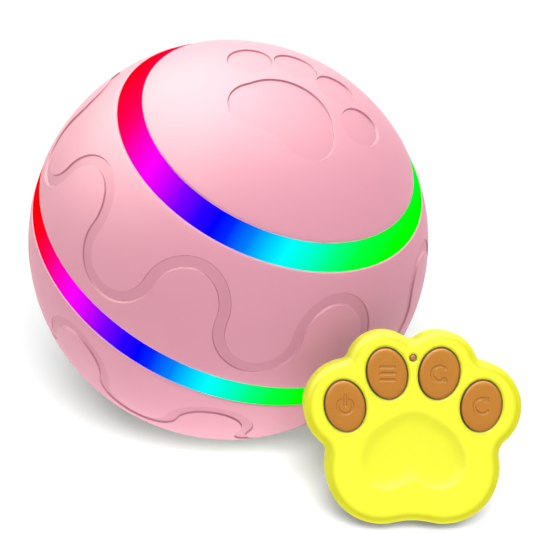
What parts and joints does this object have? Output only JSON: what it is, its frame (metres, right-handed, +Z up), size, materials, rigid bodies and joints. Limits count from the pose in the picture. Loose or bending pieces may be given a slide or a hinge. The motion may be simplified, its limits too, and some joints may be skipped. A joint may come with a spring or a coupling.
{
  "type": "automatic rolling dog ball",
  "caption": "Self-rolling dog ball with wave-grooved soft skins, glowing rings and a geared pendulum core, with its paw-shaped remote control.",
  "frame": {"origin": "on the floor under the ball's centre, where the ball rests", "axes": "+Z up; -Y towards the viewer of the picture, with the remote standing at +X, -Y of the ball"},
  "size_m": [0.0906, 0.0882, 0.078],
  "materials": {
    "pink_skin": "satin soft skin",
    "opal_shell": "satin",
    "light_ring": "glowing light guide",
    "grey_plastic": "satin",
    "black_plastic": "satin",
    "acetal": "satin",
    "steel": "plated",
    "brass": "turned",
    "battery_wrap": "film wrap",
    "board_green": "solder mask",
    "lamp_lens": "clear lens",
    "yellow_plastic": "satin moulded",
    "brown_key": "matt moulded",
    "seal_rubber": "matt"
  },
  "bodies": {
    "ball": {"lower_shell": "opal_shell", "upper_shell": "opal_shell", "coupling_ring": "grey_plastic", "lower_band_skin": "pink_skin", "upper_band_skin": "pink_skin", "lower_cap_skin": "pink_skin", "lower_light_ring": "light_ring", "middle_light_ring": "light_ring", "upper_light_ring": "light_ring", "drive_hub": "acetal", "drive_axle": "steel", "output_gear": "acetal"},
    "seal": {"lid_seal": "seal_rubber"},
    "lid": {"access_lid": "opal_shell", "upper_cap_skin": "pink_skin", "upper_hub": "acetal"},
    "core": {"core_base": "grey_plastic", "core_cover": "grey_plastic", "gear_plate": "grey_plastic", "axle_bush": "brass", "reduction_pin": "steel", "idler_pin": "steel", "drive_motor": "steel", "motor_end_cap": "black_plastic", "battery_cell": "battery_wrap", "counterweight": "steel", "control_board": "board_green", "usb_socket": "steel", "power_switch": "black_plastic", "ring_lamp_1": "lamp_lens", "ring_lamp_2": "lamp_lens", "ring_lamp_3": "lamp_lens", "ring_lamp_4": "lamp_lens", "core_screw_1": "steel", "core_screw_2": "steel", "core_screw_3": "steel"},
    "reduction": {"reduction_gear": "acetal"},
    "pinion": {"motor_pinion": "brass"},
    "core_button": {"power_button": "brown_key"},
    "remote": {"remote_top_case": "yellow_plastic", "remote_bottom_case": "yellow_plastic", "remote_board": "board_green", "coin_cell": "steel", "battery_contact": "brass", "indicator_lamp": "lamp_lens", "power_key_dome": "steel", "mode_key_dome": "steel", "turn_left_key_dome": "steel", "turn_right_key_dome": "steel", "remote_screw_1": "steel", "remote_screw_2": "steel"},
    "outer_left_button": {"power_key": "brown_key"},
    "inner_left_button": {"mode_key": "brown_key"},
    "inner_right_button": {"turn_left_key": "brown_key"},
    "outer_right_button": {"turn_right_key": "brown_key"},
    "door": {"battery_door": "yellow_plastic"}
  },
  "joints": [
    {"name": "lid_turn", "type": "hinge", "parent": "ball", "child": "seal", "pos_m": [0, 0, 0.039], "axis": [0.3561, -0.414, 0.8377], "range_deg": [0, 20]},
    {"name": "lid_lift", "type": "slide", "parent": "seal", "child": "lid", "axis": [0.3561, -0.414, 0.8377], "range_m": [0, 0.045]},
    {"name": "core_swing", "type": "hinge", "parent": "ball", "child": "core", "pos_m": [0, 0, 0.039], "axis": [0.3561, -0.414, 0.8377], "continuous": true},
    {"name": "reduction_spin", "type": "hinge", "parent": "core", "child": "reduction", "pos_m": [-0.0064, -0.01205, 0.03576], "axis": [0.3561, -0.414, 0.8377], "continuous": true},
    {"name": "motor_spin", "type": "hinge", "parent": "core", "child": "pinion", "pos_m": [0.00395, -0.01191, 0.03143], "axis": [0.3561, -0.414, 0.8377], "continuous": true},
    {"name": "power_press", "type": "slide", "parent": "core", "child": "core_button", "axis": [-0.3561, 0.414, -0.8377], "range_m": [0, 0.0004], "stiffness_N_per_m": 800},
    {"name": "remote_pull", "type": "slide", "parent": "ball", "child": "remote", "axis": [0.6338, -0.7735, 0], "range_m": [0, 0.08]},
    {"name": "outer_left_press", "type": "slide", "parent": "remote", "child": "outer_left_button", "axis": [0, 0.9511, -0.309], "range_m": [0, 0.00035], "stiffness_N_per_m": 800},
    {"name": "inner_left_press", "type": "slide", "parent": "remote", "child": "inner_left_button", "axis": [0, 0.9511, -0.309], "range_m": [0, 0.00035], "stiffness_N_per_m": 800},
    {"name": "inner_right_press", "type": "slide", "parent": "remote", "child": "inner_right_button", "axis": [0, 0.9511, -0.309], "range_m": [0, 0.00035], "stiffness_N_per_m": 800},
    {"name": "outer_right_press", "type": "slide", "parent": "remote", "child": "outer_right_button", "axis": [0, 0.9511, -0.309], "range_m": [0, 0.00035], "stiffness_N_per_m": 800},
    {"name": "door_turn", "type": "hinge", "parent": "remote", "child": "door", "pos_m": [0.0327, -0.04083, 0.01427], "axis": [0, 0.9511, -0.309], "range_deg": [0, 30]}
  ],
  "couplings": [
    {"joint": "reduction_spin", "follows": "core_swing", "ratio": 3},
    {"joint": "motor_spin", "follows": "core_swing", "ratio": -9}
  ]
}
